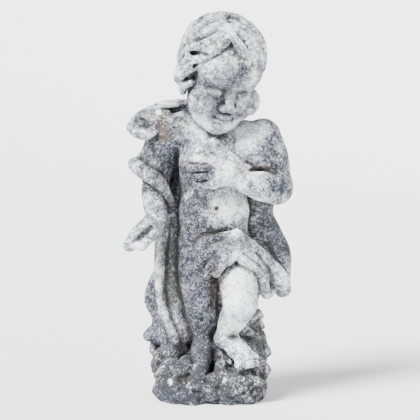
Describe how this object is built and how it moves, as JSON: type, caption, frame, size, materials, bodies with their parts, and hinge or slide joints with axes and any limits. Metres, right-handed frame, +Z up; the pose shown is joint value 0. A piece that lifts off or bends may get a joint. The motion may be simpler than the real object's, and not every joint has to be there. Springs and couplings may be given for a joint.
{
  "type": "stone putto statue",
  "caption": "Weathered carved stone putto standing on a rocky base, one hand on his chest, draped in a cloak and loincloth.",
  "frame": {"origin": "on the base's flat underside, straight below the middle of the figure's trunk", "axes": "+Z up through the figure, -Y the way the figure faces, +X to the figure's left"},
  "size_m": [0.3045, 0.1942, 0.6997],
  "materials": {
    "weathered_stone": "rough weathered stone, pale where it is clean, with dark grey lichen in the hollows and on one side"
  },
  "bodies": {
    "root": {"putto_statue": "weathered_stone"}
  },
  "joints": []
}
